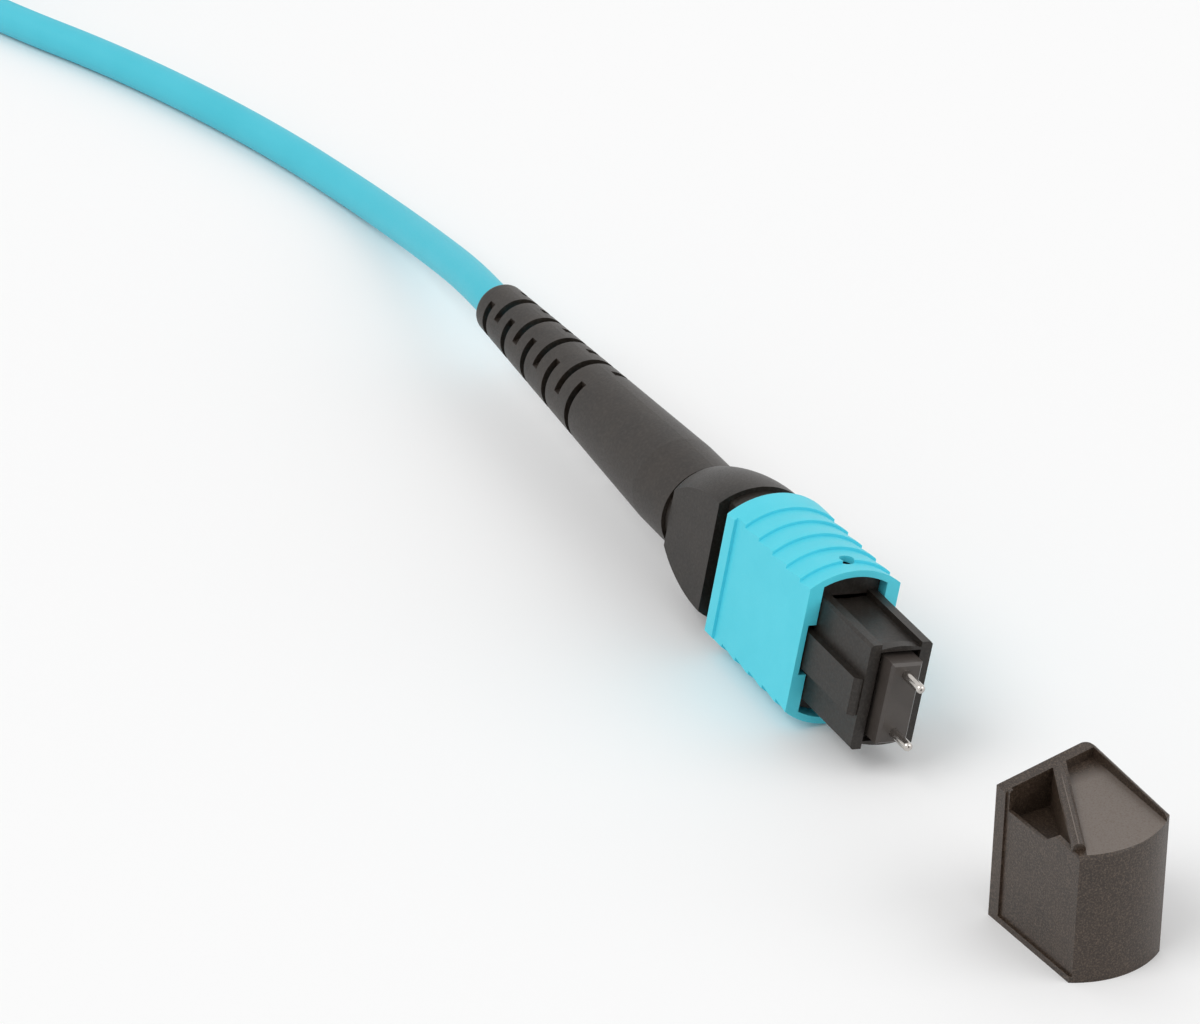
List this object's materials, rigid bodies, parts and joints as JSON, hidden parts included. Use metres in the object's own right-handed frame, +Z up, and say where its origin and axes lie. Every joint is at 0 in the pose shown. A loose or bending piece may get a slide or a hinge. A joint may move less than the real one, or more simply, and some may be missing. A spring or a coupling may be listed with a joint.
{
  "type": "fibre breakout cable",
  "caption": "Optical breakout cable: a flat multi-fibre push-pull plug with a slotted boot on a round cable, a fan-out to duplex plugs on thin legs, and a loose dust cap.",
  "frame": {"origin": "centre of the multi-fibre plug's ferrule end face", "axes": "+X out of the plug along its mating direction, +Z up from the surface it lies on; the plug's width leans 9.85 degrees from upright"},
  "size_m": [0.3812, 0.0548, 0.0124],
  "materials": {
    "aqua_plastic": "satin moulded",
    "black_plastic": "fine matt moulded",
    "ferrule_plastic": "polished filled plastic",
    "polished_steel": "polished",
    "spring_steel": "drawn wire",
    "crimp_metal": "plated",
    "boot_rubber": "matt moulded",
    "black_rubber": "matt",
    "ribbon_coating": "clear coated",
    "cable_jacket": "extruded satin",
    "cap_plastic": "smoky moulded",
    "white_ceramic": "polished",
    "clear_cap_plastic": "cloudy soft plastic"
  },
  "bodies": {
    "cable": {"inner_housing": "black_plastic", "back_body": "black_plastic", "crimp_ring": "crimp_metal", "strain_relief_boot": "boot_rubber", "fibre_ribbon": "ribbon_coating", "ferrule_spring": "spring_steel", "sleeve_spring_upper": "spring_steel", "sleeve_spring_lower": "spring_steel", "dust_cap": "cap_plastic", "trunk_cable": "cable_jacket", "trunk_coil": "cable_jacket", "trunk_tail": "cable_jacket", "leg_coil": "cable_jacket", "leg_1": "cable_jacket", "leg_2": "cable_jacket", "leg_3": "cable_jacket", "leg_4": "cable_jacket", "leg_1_tail": "cable_jacket", "leg_2_tail": "cable_jacket", "leg_3_tail": "cable_jacket", "leg_4_tail": "cable_jacket", "fanout_shell_lower": "black_plastic", "fanout_shell_upper": "black_plastic", "fanout_boot": "boot_rubber", "lc_1_boot": "boot_rubber", "lc_1_body": "black_plastic", "lc_1_plugs": "aqua_plastic", "lc_1_ferrule_left": "white_ceramic", "lc_1_ferrule_right": "white_ceramic", "lc_1_cap": "clear_cap_plastic", "lc_2_boot": "boot_rubber", "lc_2_body": "black_plastic", "lc_2_plugs": "aqua_plastic", "lc_2_ferrule_left": "white_ceramic", "lc_2_ferrule_right": "white_ceramic", "lc_2_cap": "clear_cap_plastic", "lc_3_boot": "boot_rubber", "lc_3_body": "black_plastic", "lc_3_plugs": "aqua_plastic", "lc_3_ferrule_left": "white_ceramic", "lc_3_ferrule_right": "white_ceramic", "lc_3_cap": "clear_cap_plastic", "lc_4_boot": "boot_rubber", "lc_4_body": "black_plastic", "lc_4_plugs": "aqua_plastic", "lc_4_ferrule_left": "white_ceramic", "lc_4_ferrule_right": "white_ceramic", "lc_4_cap": "clear_cap_plastic"},
    "sleeve": {"sliding_sleeve": "aqua_plastic"},
    "ferrule_set": {"ferrule": "ferrule_plastic", "guide_pins": "polished_steel", "pin_clamp": "black_plastic", "ferrule_bung": "black_rubber"}
  },
  "joints": [
    {"name": "sleeve_slide", "type": "slide", "parent": "cable", "child": "sleeve", "axis": [-1, 0, 0], "range_m": [0, 0.0013], "stiffness_N_per_m": 900, "springref_m": -0.0008, "deforming": ["sleeve_spring_upper", "sleeve_spring_lower"]},
    {"name": "ferrule_slide", "type": "slide", "parent": "cable", "child": "ferrule_set", "axis": [-1, 0, 0], "range_m": [0, 0.0008], "stiffness_N_per_m": 2500, "springref_m": -0.0032, "deforming": ["ferrule_spring"]}
  ]
}
